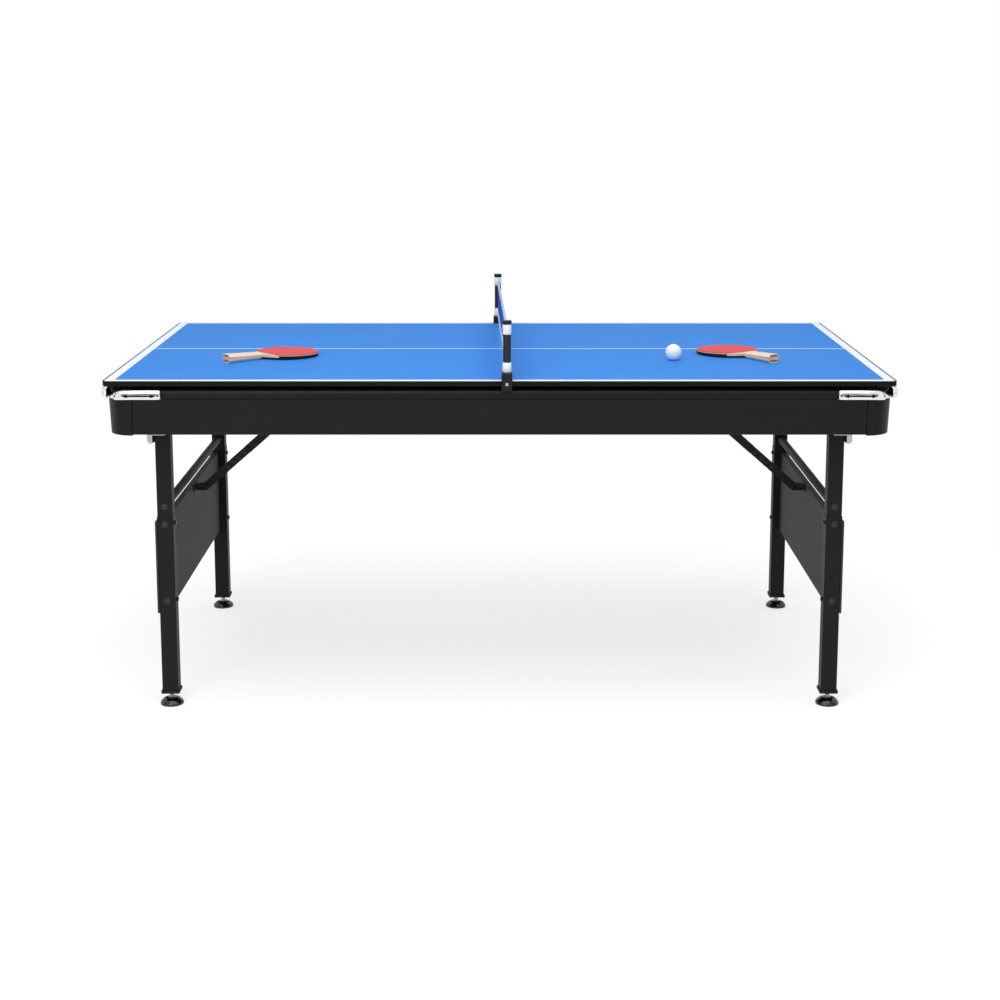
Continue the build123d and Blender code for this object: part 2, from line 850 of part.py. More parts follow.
# ---------------------------------------------------------------- the nodes
save("top_board", top_board())
save("top_edge_band", top_edge_band())
save("support_pads", *support_pads())

rails = rail_ring()
aprons = apron_ring(apron_height)
for depth, sign in DEPTHS.items():
    save(f"rail_{depth}", rails & mitre(True, sign))
    save(f"apron_{depth}", apron(aprons, True, sign))
for side, sign in SIDES.items():
    save(f"rail_{side}", rails & mitre(False, sign))
    save(f"apron_{side}", apron(aprons, False, sign))
save("corner_mouldings", *four(corner_moulding(apron_ring(apron_height + corner_drop))))
save("corner_castings", *four(corner_casting()))
save("bed_board", bed_board())
save("bed_bearers", *bed_bearers(), *four(hinge_block()))
save("corner_blocks", *four(corner_block()))
save("hinge_brackets", *four(hinge_bracket()))
save("stop_buffers", *four(stop_buffer()))
save("brace_hangers", brace_hanger(), mirrored(brace_hanger(), -1))

for side, sign in SIDES.items():
    save(f"upper_legs_{side}", *both_depths(upper_leg(), sign))
    save(f"lower_legs_{side}", *both_depths(lower_leg(), sign))
    save(f"cross_tube_{side}", mirrored(cross_tube(), sign))
    save(f"brace_lug_{side}", mirrored(brace_lug(), sign))
    save(f"end_panel_{side}", mirrored(end_panel(), sign))
    save(f"panel_angles_{side}", *both_depths(panel_angle(), sign))
    save(f"leg_caps_{side}", *both_depths(leg_cap(), sign))
    save(f"brace_lower_link_{side}", mirrored(brace_lower_link(), sign))
    save(f"brace_upper_link_{side}", mirrored(brace_upper_link(), sign))
    for depth, back in DEPTHS.items():
        save(f"levelling_foot_{depth}_{side}", mirrored(levelling_foot(), sign, back))

net_shifts = {"front": Pos(net_front_shift, 0, 0), "rear": Pos(net_rear_shift, 0, 0)}
for depth, sign in DEPTHS.items():
    save(f"net_post_{depth}", net_shifts[depth] * mirrored(net_post(), 1, sign))
    save(f"net_clamp_{depth}", net_shifts[depth] * mirrored(net_clamp(), 1, sign))
for node, piece in (("net_post_caps", net_post_cap()), ("net_screws", net_screw())):
    save(node, *[net_shifts[depth] * mirrored(piece, 1, sign) for depth, sign in DEPTHS.items()])
save("net", net_sheet())

for side in SIDES:
    save(f"bat_{side}_blade", bat_blade(side))
    save(f"bat_{side}_handle", *bat_handle(side))
    save(f"bat_{side}_red_rubber", bat_rubber(side, 1))
    save(f"bat_{side}_black_rubber", bat_rubber(side, -1))
save("ball", ball())
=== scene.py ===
import json
import math
import bmesh
import bpy
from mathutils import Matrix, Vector


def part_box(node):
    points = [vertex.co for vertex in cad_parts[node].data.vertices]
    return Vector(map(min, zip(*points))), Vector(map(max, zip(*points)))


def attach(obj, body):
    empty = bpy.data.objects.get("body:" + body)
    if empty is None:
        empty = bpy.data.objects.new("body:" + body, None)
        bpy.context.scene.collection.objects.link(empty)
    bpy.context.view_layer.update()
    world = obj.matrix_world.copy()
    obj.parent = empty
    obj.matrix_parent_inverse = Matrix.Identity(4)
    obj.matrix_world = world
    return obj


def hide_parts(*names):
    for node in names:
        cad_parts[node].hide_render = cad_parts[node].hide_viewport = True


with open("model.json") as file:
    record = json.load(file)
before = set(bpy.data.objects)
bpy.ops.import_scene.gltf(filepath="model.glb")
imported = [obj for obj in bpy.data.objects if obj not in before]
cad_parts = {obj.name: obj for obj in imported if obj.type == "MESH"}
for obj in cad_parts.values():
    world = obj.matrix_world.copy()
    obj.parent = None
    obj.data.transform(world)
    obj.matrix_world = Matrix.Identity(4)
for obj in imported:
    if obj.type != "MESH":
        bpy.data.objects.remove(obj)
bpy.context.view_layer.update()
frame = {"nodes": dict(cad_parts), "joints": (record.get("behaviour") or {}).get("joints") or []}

MM = 0.001

# ------------------------------------------------------------------ camera
# A long lens from the near long side, a little above the table, looking slightly down.
lens = bpy.data.cameras.new("long_side_view")
lens.lens, lens.sensor_width, lens.shift_y = 63.0, 36.0, -0.12
camera = bpy.data.objects.new("long_side_view", lens)
camera.location = (0.001, -4.460, 1.487)
camera.rotation_euler = (math.radians(90 - 9.66), 0, 0)
bpy.context.scene.collection.objects.link(camera)
bpy.context.scene.camera = camera
bpy.context.scene.view_settings.view_transform = "Standard"


# ------------------------------------------------------------------ playing top
# A 12 mm fibreboard with a blue lacquer that is rolled on, cured under lamps and sanded
# between coats. Its border and centre line are white lacquer printed over the blue.
def srgb(code):
    """An sRGB hex colour as the linear colour that the shaders take."""
    parts = [int(code[i:i + 2], 16) / 255 for i in (1, 3, 5)]
    return [c / 12.92 if c < 0.04045 else ((c + 0.055) / 1.055) ** 2.4 for c in parts] + [1.0]


def add(tree, kind, inputs=None, **settings):
    """Adds one node with its settings; an input is given a value or the socket that feeds it."""
    node = tree.nodes.new(kind)
    for name, value in settings.items():
        setattr(node, name, value)
    for name, value in (inputs or {}).items():
        if isinstance(value, bpy.types.NodeSocket):
            tree.links.new(value, node.inputs[name])
        else:
            node.inputs[name].default_value = value
    return node


def finish_named(name, **sockets):
    """A new material with one Principled shader, whose sockets take the values given."""
    material = bpy.data.materials.new(name)
    material.use_nodes = True
    shader = material.node_tree.nodes["Principled BSDF"]
    for socket, value in sockets.items():
        shader.inputs[socket.replace("_", " ")].default_value = value
    return material, material.node_tree, shader


def wire(tree, shader, colour, relief):
    """Gives a shader its colour and its relief."""
    tree.links.new(colour.outputs["Result"], shader.inputs["Base Color"])
    tree.links.new(relief.outputs["Normal"], shader.inputs["Normal"])


def between(tree, length, near, far):
    """1 where a length lies between two others, given in mm, and 0 elsewhere."""
    over = add(tree, "ShaderNodeMath", {0: length, 1: near * MM}, operation="GREATER_THAN")
    under = add(tree, "ShaderNodeMath", {0: length, 1: far * MM}, operation="LESS_THAN")
    both = add(tree, "ShaderNodeMath", {
        0: over.outputs[0], 1: under.outputs[0],
    }, operation="MULTIPLY")
    return both.outputs[0]


def plain_dress(node, material):
    """A CAD node that keeps its own mesh and takes a finish."""
    mesh = frame["nodes"][node].data
    mesh.materials.clear()
    mesh.materials.append(material)


# Rolled lacquer is satin, with a faint cloudiness and the orange peel of the roller.
blue_lacquer, tree, shader = finish_named(
    "rolled_blue_lacquer", Roughness=0.6, IOR=1.5, Specular_IOR_Level=0.05
)
place = add(tree, "ShaderNodeTexCoord").outputs["Object"]
axes = add(tree, "ShaderNodeSeparateXYZ", {"Vector": place})
cloud = add(tree, "ShaderNodeTexNoise", {"Vector": place, "Scale": 6.0, "Detail": 3.0})
tint = add(tree, "ShaderNodeMix", {
    "Factor": cloud.outputs["Fac"], "A": srgb("#3a89e3"), "B": srgb("#4290e7"),
}, data_type="RGBA")

board_low, board_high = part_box("top_board")
half_length, half_width = board_high.x / MM, board_high.y / MM
# In mm from the board's ends and sides: where the white border starts, and where it stops.
end_border, end_stop, side_border, side_stop = 24, 3, 19, -1
centre_half, below_zero = 6, -1
from_end = add(tree, "ShaderNodeMath", {0: axes.outputs["X"]}, operation="ABSOLUTE").outputs[0]
from_side = add(tree, "ShaderNodeMath", {0: axes.outputs["Y"]}, operation="ABSOLUTE").outputs[0]
end_line = between(tree, from_end, half_length - end_border, half_length - end_stop)
side_line = between(tree, from_side, half_width - side_border, half_width - side_stop)
inside = between(tree, from_end, below_zero, half_length - end_stop)
side_line = add(tree, "ShaderNodeMath", {0: side_line, 1: inside}, operation="MULTIPLY").outputs[0]
centre_line = between(tree, from_side, below_zero, centre_half)
border = add(tree, "ShaderNodeMath", {0: end_line, 1: side_line}, operation="MAXIMUM").outputs[0]
lined = add(tree, "ShaderNodeMix", {
    "Factor": centre_line, "A": tint.outputs["Result"], "B": srgb("#b5d2fa"),
}, data_type="RGBA")
painted = add(tree, "ShaderNodeMix", {
    "Factor": border, "A": lined.outputs["Result"], "B": srgb("#f7fbff"),
}, data_type="RGBA")
underside = between(tree, axes.outputs["Z"], below_zero, board_low.z / MM + 0.5)
fibre = add(tree, "ShaderNodeTexNoise", {"Vector": place, "Scale": 180.0, "Detail": 5.0})
bare = add(tree, "ShaderNodeMix", {
    "Factor": fibre.outputs["Fac"], "A": srgb("#7c6248"), "B": srgb("#94795b"),
}, data_type="RGBA")
sealed = add(tree, "ShaderNodeMix", {
    "Factor": underside, "A": painted.outputs["Result"], "B": bare.outputs["Result"],
}, data_type="RGBA")
peel = add(tree, "ShaderNodeTexNoise", {"Vector": place, "Scale": 260.0, "Detail": 2.0})
bump = add(tree, "ShaderNodeBump", {
    "Height": peel.outputs["Fac"], "Strength": 0.06, "Distance": 0.2 * MM,
})
wire(tree, shader, sealed, bump)
plain_dress("top_board", blue_lacquer)


# ------------------------------------------------------------------ edge band and pads
# A black PVC band is glued round the board's edge, its arrises scraped round. Foam pads stuck
# under the board keep it off the cabinet.
def moulded(name, colour, paler, roughness, grain, depth, specular=0.25):
    """Moulded or extruded plastic: a slightly uneven colour over a fine spark-eroded grain."""
    material, tree, shader = finish_named(
        name, Roughness=roughness, IOR=1.5, Specular_IOR_Level=specular
    )
    place = add(tree, "ShaderNodeTexCoord").outputs["Object"]
    cloud = add(tree, "ShaderNodeTexNoise", {"Vector": place, "Scale": 9.0, "Detail": 4.0})
    tint = add(tree, "ShaderNodeMix", {
        "Factor": cloud.outputs["Fac"], "A": srgb(colour), "B": srgb(paler),
    }, data_type="RGBA")
    fine = add(tree, "ShaderNodeTexNoise", {
        "Vector": place, "Scale": 1.0 / (grain * MM), "Detail": 2.0,
    })
    bump = add(tree, "ShaderNodeBump", {
        "Height": fine.outputs["Fac"], "Strength": 0.5, "Distance": depth * MM,
    })
    wire(tree, shader, tint, bump)
    return material


def whole_faces(node):
    """A copy of a CAD node's mesh with its triangles joined into the faces they came from."""
    work = bmesh.new()
    work.from_mesh(frame["nodes"][node].data)
    bmesh.ops.remove_doubles(work, verts=work.verts, dist=0.01 * MM)
    bmesh.ops.dissolve_limit(
        work, angle_limit=math.radians(1.0), verts=work.verts, edges=work.edges
    )
    return work


def piece_of(name, work, materials, body, nodes=(), sharp=30.0):
    """A worked mesh as a piece of the object, smooth between its sharp edges."""
    mesh = bpy.data.meshes.new(name)
    for face in work.faces:
        face.smooth = True
    work.to_mesh(mesh)
    work.free()
    for material in materials:
        mesh.materials.append(material)
    mesh.set_sharp_from_angle(angle=math.radians(sharp))
    piece = bpy.data.objects.new(name, mesh)
    bpy.context.scene.collection.objects.link(piece)
    if nodes:
        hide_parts(*nodes)
    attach(piece, body)
    return piece


def ease_edges(piece, width, sharp=30.0, steps=2):
    """Rounds a piece's sharp edges by a radius in mm, as a mould, a bend or a file leaves them."""
    bevel = piece.modifiers.new("eased_edges", "BEVEL")
    bevel.width = width * MM
    bevel.segments = steps
    bevel.limit_method = "ANGLE"
    bevel.angle_limit = math.radians(sharp)
    bevel.harden_normals = True


def dressed(node, body, material, ease, sharp=30.0, steps=2):
    """A CAD node's own shape with a finish and with its edges eased."""
    piece = piece_of(node + "_finished", whole_faces(node), [material], body, [node], sharp)
    ease_edges(piece, ease, sharp, steps)


# Extruded PVC edging is dull black, with shine only on its scraped arrises.
edge_pvc = moulded("black_pvc_edging", "#0b0b0b", "#101010", 0.5, 1.2, 0.05, 0.12)
dressed("top_edge_band", "playing_top", edge_pvc, 1.0)
# Closed-cell foam is matt, with open pores.
foam = moulded("black_eva_foam", "#0c0c0c", "#141414", 0.9, 1.0, 0.3, 0.15)
dressed("support_pads", "playing_top", foam, 1.0)

# ------------------------------------------------------------------ cabinet boards
# The bed, its bearers and the corner blocks are chipboard with a black melamine face,
# screwed and glued inside the aprons.
def chipboard():
    """Black melamine with its pressed grain, over chips that show faintly through the face."""
    material, tree, shader = finish_named(
        "black_faced_chipboard", Roughness=0.7, IOR=1.5, Specular_IOR_Level=0.2
    )
    place = add(tree, "ShaderNodeTexCoord").outputs["Object"]
    chips = add(tree, "ShaderNodeTexVoronoi", {"Vector": place, "Scale": 1 / (4 * MM)})
    shade = add(tree, "ShaderNodeMapRange", {
        "Value": chips.outputs["Distance"], "From Max": 0.8,
    })
    tint = add(tree, "ShaderNodeMix", {
        "Factor": shade.outputs["Result"], "A": srgb("#1f1c19"), "B": srgb("#2c2722"),
    }, data_type="RGBA")
    bump = add(tree, "ShaderNodeBump", {
        "Height": chips.outputs["Distance"], "Strength": 0.2, "Distance": 0.1 * MM,
    })
    wire(tree, shader, tint, bump)
    return material


board = chipboard()
for node in ("bed_board", "bed_bearers", "corner_blocks"):
    dressed(node, "cabinet", board, 0.4)

# ------------------------------------------------------------------ rails and aprons
# Fibreboard wrapped in black foil and mitred at the corners. The rail's outer arris is
# rounded over, and the apron leans in a little towards its rounded lower edge.
rail_foil = moulded("black_foil_rail", "#0c0c0c", "#111111", 0.4, 1.5, 0.03, 0.2)
apron_foil = moulded("black_foil_apron", "#10100f", "#151514", 0.5, 2.0, 0.04, 0.2)
for side in ("front", "rear", "left", "right"):
    dressed("rail_" + side, "cabinet", rail_foil, 3.5, steps=4)
    dressed("apron_" + side, "cabinet", apron_foil, 2.5, steps=3)

# ------------------------------------------------------------------ corner mouldings
# A black polypropylene moulding wraps each corner of the apron and is tapped on over the
# boards' ends, which leaves a fine seam.
corner_plastic = moulded("black_corner_moulding", "#161615", "#1b1b1a", 0.45, 1.0, 0.05, 0.15)
dressed("corner_mouldings", "cabinet", corner_plastic, 0.5)


# ------------------------------------------------------------------ corner castings
# A zinc casting with bright chrome plate caps each corner of the rail: a low band follows the
# corner, and two bullet-nosed arms run along the sides, each with a groove painted black inside as
# painted shade.
def metal(name, colour, roughness, grain, depth, metallic=1.0):
    """Bare or plated metal with a faint unevenness in its shine."""
    uneven = 0.25
    material, tree, shader = finish_named(name, Metallic=metallic, Base_Color=srgb(colour))
    place = add(tree, "ShaderNodeTexCoord").outputs["Object"]
    fine = add(tree, "ShaderNodeTexNoise", {
        "Vector": place, "Scale": 1.0 / (grain * MM), "Detail": 3.0,
    })
    shine = add(tree, "ShaderNodeMapRange", {
        "Value": fine.outputs["Fac"],
        "To Min": roughness * (1 - uneven), "To Max": roughness * (1 + uneven),
    })
    bump = add(tree, "ShaderNodeBump", {
        "Height": fine.outputs["Fac"], "Strength": 0.3, "Distance": depth * MM,
    })
    tree.links.new(shine.outputs["Result"], shader.inputs["Roughness"])
    tree.links.new(bump.outputs["Normal"], shader.inputs["Normal"])
    return material


def skin(work, rings):
    """Skins a row of rings of points, all with as many points, and closes both ends."""
    rows = [[work.verts.new(point) for point in ring] for ring in rings]
    for row, after in zip(rows, rows[1:]):
        for i in range(len(row)):
            j = (i + 1) % len(row)
            work.faces.new((row[i], row[j], after[j], after[i]))
    work.faces.new(rows[0])
    work.faces.new(rows[-1][::-1])
    bmesh.ops.recalc_face_normals(work, faces=work.faces)


def bar_section(low, high, depth, radius, steps=6):
    """A bar's section, (out, up) in mm: flat at the back, with its two outer corners round."""
    radius = min(radius, depth * 0.95, (high - low) / 2 - 0.01)
    section = [(-1.0, low), (depth - radius, low)]
    for centre, first in ((low + radius, -90), (high - radius, 0)):
        for step in range(1, steps + 1):
            turn = math.radians(first + 90 * step / steps)
            section.append((
                depth - radius + radius * math.cos(turn), centre + radius * math.sin(turn)
            ))
        if first == -90:
            section.append((depth, high - radius))
    return section + [(-1.0, high)]


rail_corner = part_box("corner_mouldings")[1]
cast_low, cast_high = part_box("corner_castings")
cast_height = (cast_high.z - cast_low.z) / MM
cast_proud = (cast_high.x - rail_corner.x) / MM
# An arm, in mm from the tip of its nose: it swells over the nose and is rounded at the tail.
arm_length, nose_length, nose_offset = 111.0, 26.0, 22.0
tail_start, tail_length, tail_pinch = 105.0, 6.0, 2.2
nose_lift, nose_lift_length, nose_height, nose_depth = 7.0, 5.0, 0.4, 0.3
arm_round = 7.0
# The groove, with an arrow head at each end, and the dimple behind it.
groove_start, groove_end, groove_half, arrow_half = 22.0, 101.0, 1.7, 4.2
arrow_length, arrow_back = 12.0, 14.0
groove_height, groove_depth, past_face = 10.4, 3.0, 2.0
dimple_along, dimple_radius, dimple_sides = 105.5, 1.6, 16
# The band that follows the corner.
band_reach, band_radius, band_steps = 133.0, 64.0, 12
band_height, band_proud, band_round = 9.0, 5.0, 3.5

arm = bmesh.new()
rings = []
nose_places = (0, 1, 2.5, 4.5, 7, 10, 14, 19, nose_length)
for along in nose_places + (60, tail_start, 108.5, 110.3, arm_length):
    swell = math.sqrt(1 - (1 - min(along / nose_length, 1)) ** 2)
    end = max(0.0, along - tail_start) / tail_length
    pinch = tail_pinch * (1 - math.sqrt(1 - min(end, 1) ** 2)) if end else 0.0
    low = nose_lift * (1 - min(along / nose_lift_length, 1)) ** 2 + pinch
    high = cast_height * (nose_height + (1 - nose_height) * swell) - pinch
    out = cast_proud * (nose_depth + (1 - nose_depth) * swell) - pinch
    rings.append([
        (along * MM, v * MM, w * MM) for v, w in bar_section(low, high, out, arm_round)
    ])
skin(arm, rings)

groove = bmesh.new()
outline = [
    (groove_start, 0),
    (groove_start + arrow_length, arrow_half), (groove_start + arrow_back, groove_half),
    (groove_end - arrow_back, groove_half), (groove_end - arrow_length, arrow_half),
    (groove_end, 0),
]
outline += [(along, -up) for along, up in outline[-2:0:-1]]
dimple = [
    (dimple_along + dimple_radius * math.cos(math.tau * step / dimple_sides),
     dimple_radius * math.sin(math.tau * step / dimple_sides)) for step in range(dimple_sides)
]
for shape in (outline, dimple):
    skin(groove, [
        [(along * MM, out * MM, (groove_height + up) * MM) for along, up in shape]
        for out in (cast_proud - groove_depth, cast_proud + past_face)
    ])

# Chrome over a buffed casting mirrors the studio, with almost no grain of its own.
chrome = metal("polished_chrome_plate", "#e6e6e5", 0.09, 12.0, 0.02)
# The grooves and the dimples behind them are painted black inside, as painted shade in their
# recesses.
groove_painted_shade = moulded("black_groove_painted_shade", "#0b0b0b", "#101010", 0.6, 2.0, 0.02, 0.15)

blanks = []
for name, work, material in (("arm", arm, chrome), ("groove", groove, groove_painted_shade)):
    mesh = bpy.data.meshes.new(name)
    work.to_mesh(mesh)
    work.free()
    mesh.materials.append(material)
    blanks.append(bpy.data.objects.new(name, mesh))
    bpy.context.scene.collection.objects.link(blanks[-1])
# The cut carries the groove's black painted shade onto the walls and floor of the recess it leaves.
cut = blanks[0].modifiers.new("groove", "BOOLEAN")
cut.object, cut.operation, cut.solver = blanks[1], "DIFFERENCE", "EXACT"
cut.material_mode = "TRANSFER"
grooved = bpy.data.meshes.new_from_object(
    blanks[0].evaluated_get(bpy.context.evaluated_depsgraph_get())
)


def gather(part, whole):
    """Moves a worked mesh into a larger one."""
    mesh = bpy.data.meshes.new("gathered")
    part.to_mesh(mesh)
    part.free()
    whole.from_mesh(mesh)
    bpy.data.meshes.remove(mesh)


castings = bmesh.new()
corner_x, corner_y = rail_corner.x, rail_corner.y
for flip_x in (1, -1):
    for flip_y in (1, -1):
        for lengthwise in (True, False):
            part = bmesh.new()
            part.from_mesh(grooved)
            for vertex in part.verts:
                along, out, up = vertex.co
                back = nose_offset * MM + along
                x, y = corner_x - back, corner_y + out
                if not lengthwise:
                    x, y = corner_x + out, corner_y - back
                vertex.co = (flip_x * x, flip_y * y, cast_low.z + up)
            bmesh.ops.recalc_face_normals(part, faces=part.faces)
            gather(part, castings)
        stations = [((corner_x / MM - band_reach, corner_y / MM), (0, 1))]
        for step in range(band_steps + 1):
            turn = math.radians(90 - 90 * step / band_steps)
            outward = (math.cos(turn), math.sin(turn))
            stations.append((
                (corner_x / MM - band_radius * (1 - outward[0]),
                 corner_y / MM - band_radius * (1 - outward[1])), outward,
            ))
        stations.append(((corner_x / MM, corner_y / MM - band_reach), (1, 0)))
        part = bmesh.new()
        skin(part, [
            [
                (flip_x * (x + nx * v) * MM, flip_y * (y + ny * v) * MM, cast_low.z + w * MM)
                for v, w in bar_section(0.0, band_height, band_proud, band_round, 3)
            ]
            for (x, y), (nx, ny) in stations
        ])
        gather(part, castings)
for blank in blanks:
    bpy.data.objects.remove(blank)
piece_of(
    "corner_castings_finished", castings, [chrome, groove_painted_shade], "cabinet",
    ["corner_castings"], 40.0,
)

# ------------------------------------------------------------------ hinge brackets and stops
# A pressed saddle of zinc-plated steel under each corner holds the leg's pivot, and a black
# rubber buffer on it stops the leg when it stands upright.
zinc = metal("zinc_plated_steel", "#c4c4c1", 0.36, 4.0, 0.03)
dressed("hinge_brackets", "cabinet", zinc, 0.6)
stop_rubber = moulded("black_stop_rubber", "#0b0b0b", "#111111", 0.8, 0.8, 0.1, 0.2)
dressed("stop_buffers", "cabinet", stop_rubber, 1.5, steps=3)


# ------------------------------------------------------------------ folding legs
# Square steel tube: each lower leg is sleeved over the upper one and capped with a flared
# plastic plug, and a round cross tube is bolted between the front and rear legs.
def powder_coat(name, colour, paler, roughness, depth, specular=0.25):
    """Polyester powder baked on steel: even colour, satin shine and a fine orange peel."""
    return moulded(name, colour, paler, roughness, 2.5, depth, specular)


leg_paint = powder_coat("powder_coated_leg_steel", "#1c1c1b", "#212120", 0.5, 0.06, 0.12)
cap_plastic = moulded("black_leg_cap", "#0f0f0f", "#141414", 0.5, 1.0, 0.05)
for end in ("left", "right"):
    frame_body = "leg_frame_" + end
    dressed("upper_legs_" + end, frame_body, leg_paint, 1.6, steps=3)
    dressed("lower_legs_" + end, frame_body, leg_paint, 1.8, steps=3)
    dressed("cross_tube_" + end, frame_body, leg_paint, 0.5)
    dressed("leg_caps_" + end, frame_body, cap_plastic, 1.0)

# ------------------------------------------------------------------ end panels
# A folded sheet-steel panel closes the gap between each pair of legs. Its flanges are bent
# inwards at the top and bottom, and small angles hold it to the legs.
panel_paint = powder_coat("powder_coated_panel_sheet", "#383837", "#3e3e3d", 0.6, 0.05, 0.12)
for end in ("left", "right"):
    frame_body = "leg_frame_" + end
    dressed("end_panel_" + end, frame_body, panel_paint, 0.9, steps=3)
    dressed("panel_angles_" + end, frame_body, leg_paint, 0.5)


# ------------------------------------------------------------------ leg bolts, screws and nuts
# Black button-head bolts hold the cross tubes, slightly smaller screws the panels, and each
# panel screw has a nut on the leg's inner face. One tree sets a collared head on every seat.
def head_tree():
    """A node tree that sets a head with a collar and a dome on each seat, facing outwards."""
    tree = bpy.data.node_groups.new("heads_on_their_seats", "GeometryNodeTree")
    tree.interface.new_socket(name="Seats", in_out="INPUT", socket_type="NodeSocketGeometry")
    for name in ("Collar Radius", "Collar Height", "Head Radius", "Head Height", "Dome"):
        tree.interface.new_socket(name=name, in_out="INPUT", socket_type="NodeSocketFloat")
    tree.interface.new_socket(name="Sides", in_out="INPUT", socket_type="NodeSocketInt")
    tree.interface.new_socket(name="Finish", in_out="INPUT", socket_type="NodeSocketMaterial")
    tree.interface.new_socket(name="Heads", in_out="OUTPUT", socket_type="NodeSocketGeometry")
    given = add(tree, "NodeGroupInput").outputs
    collar = add(tree, "GeometryNodeMeshCylinder", {
        "Vertices": 24, "Radius": given["Collar Radius"], "Depth": given["Collar Height"],
    })
    flat = add(tree, "GeometryNodeMeshCylinder", {
        "Vertices": given["Sides"], "Radius": given["Head Radius"], "Depth": given["Head Height"],
    })
    middle = add(tree, "ShaderNodeMath", {
        0: given["Head Height"], 1: 2.0,
    }, operation="DIVIDE")
    lift = add(tree, "ShaderNodeCombineXYZ", {"Z": middle.outputs[0]})
    raised = add(tree, "GeometryNodeTransform", {
        "Geometry": flat.outputs["Mesh"], "Translation": lift.outputs[0],
    })
    ball = add(tree, "GeometryNodeMeshUVSphere", {"Segments": 24, "Rings": 12, "Radius": 1.0})
    dome_share = 0.86
    dome_radius = add(tree, "ShaderNodeMath", {
        0: given["Head Radius"], 1: dome_share,
    }, operation="MULTIPLY")
    shape = add(tree, "ShaderNodeCombineXYZ", {
        "X": dome_radius.outputs[0], "Y": dome_radius.outputs[0], "Z": given["Dome"],
    })
    top = add(tree, "ShaderNodeCombineXYZ", {"Z": given["Head Height"]})
    dome = add(tree, "GeometryNodeTransform", {
        "Geometry": ball.outputs["Mesh"], "Translation": top.outputs[0], "Scale": shape.outputs[0],
    })
    head = add(tree, "GeometryNodeJoinGeometry")
    for part in (collar.outputs["Mesh"], raised.outputs["Geometry"], dome.outputs["Geometry"]):
        tree.links.new(part, head.inputs["Geometry"])
    facing = add(tree, "GeometryNodeInputNamedAttribute", {"Name": "facing"},
                 data_type="FLOAT_VECTOR")
    turned = add(tree, "FunctionNodeAlignRotationToVector", {
        "Vector": facing.outputs["Attribute"],
    }, axis="Z")
    placed = add(tree, "GeometryNodeInstanceOnPoints", {
        "Points": given["Seats"], "Instance": head.outputs["Geometry"],
        "Rotation": turned.outputs["Rotation"],
    })
    real = add(tree, "GeometryNodeRealizeInstances", {"Geometry": placed.outputs["Instances"]})
    coated = add(tree, "GeometryNodeSetMaterial", {
        "Geometry": real.outputs["Geometry"], "Material": given["Finish"],
    })
    add(tree, "NodeGroupOutput", {"Heads": coated.outputs["Geometry"]})
    return tree


heads = head_tree()


def set_heads(name, body, finish, seats, collar, head, sides=24, dome=1.5):
    """Heads on seats given as (place, facing), with (radius, height) in mm of collar and head."""
    seat_mesh = bpy.data.meshes.new(name + "_seats")
    seat_mesh.from_pydata([place for place, facing in seats], [], [])
    out = seat_mesh.attributes.new("facing", "FLOAT_VECTOR", "POINT")
    for datum, (place, facing) in zip(out.data, seats):
        datum.vector = facing
    holder = bpy.data.objects.new(name + "_seats", seat_mesh)
    bpy.context.scene.collection.objects.link(holder)
    modifier = holder.modifiers.new("heads", "NODES")
    modifier.node_group = heads
    values = {
        "Collar Radius": collar[0] * MM, "Collar Height": 2 * collar[1] * MM,
        "Head Radius": head[0] * MM, "Head Height": head[1] * MM,
        "Dome": dome * MM, "Sides": sides, "Finish": finish,
    }
    for item in heads.interface.items_tree:
        if item.in_out == "INPUT" and item.name in values:
            modifier[item.identifier] = values[item.name]
    mesh = bpy.data.meshes.new_from_object(
        holder.evaluated_get(bpy.context.evaluated_depsgraph_get())
    )
    bpy.data.objects.remove(holder)
    for polygon in mesh.polygons:
        polygon.use_smooth = True
    mesh.set_sharp_from_angle(angle=math.radians(35))
    piece = bpy.data.objects.new(name, mesh)
    bpy.context.scene.collection.objects.link(piece)
    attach(piece, body)


# Black oxide on button heads, worn to a low shine.
bolt_black = metal("black_oxide_bolt", "#363636", 0.25, 2.0, 0.02, metallic=0.7)
screw_drop, screw_rise = 7 * MM, 30 * MM
for end, sign in (("left", -1), ("right", 1)):
    leg_low, leg_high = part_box("lower_legs_" + end)
    tube_low, tube_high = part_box("cross_tube_" + end)
    panel_low, panel_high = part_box("end_panel_" + end)
    upper_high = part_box("upper_legs_" + end)[1]
    leg_x = (leg_low.x + leg_high.x) / 2
    leg_y = (leg_high.y + tube_high.y) / 2
    inner_x = min(leg_low.x, leg_high.x, key=abs)
    screw_heights = (panel_high.z - screw_drop, panel_low.z + screw_rise)
    bolts, screws, nuts = [], [], []
    for face in (-1, 1):
        bolts.append((
            (leg_x, face * upper_high.y, (tube_low.z + tube_high.z) / 2), (0, face, 0)
        ))
        for height in screw_heights:
            screws.append(((leg_x, face * leg_high.y, height), (0, face, 0)))
            nuts.append(((inner_x, face * leg_y, height), (-sign, 0, 0)))
    set_heads(
        "cross_tube_bolts_" + end, "leg_frame_" + end, bolt_black,
        bolts, (8.5, 0.6), (7.0, 1.4), dome=2.4,
    )
    set_heads(
        "panel_screws_" + end, "leg_frame_" + end, bolt_black,
        screws, (8.0, 0.6), (6.5, 1.2), dome=2.2,
    )
    set_heads(
        "panel_nuts_" + end, "leg_frame_" + end, bolt_black,
        nuts, (6.5, 0.8), (5.5, 4.0), sides=6, dome=1.2,
    )

# ------------------------------------------------------------------ folding braces
# A flat lower bar and a channel fold at the rivet between them when the legs fold. The bar is
# pinned to a lug on the panel, and the channel to a hanger under the bed.
brace_paint = powder_coat("powder_coated_brace_strip", "#131313", "#191919", 0.45, 0.06)
dressed("brace_hangers", "cabinet", zinc, 0.5)
pins = {
    joint["name"]: Vector(joint["pos_m"]) for joint in frame["joints"] if joint["type"] == "hinge"
}
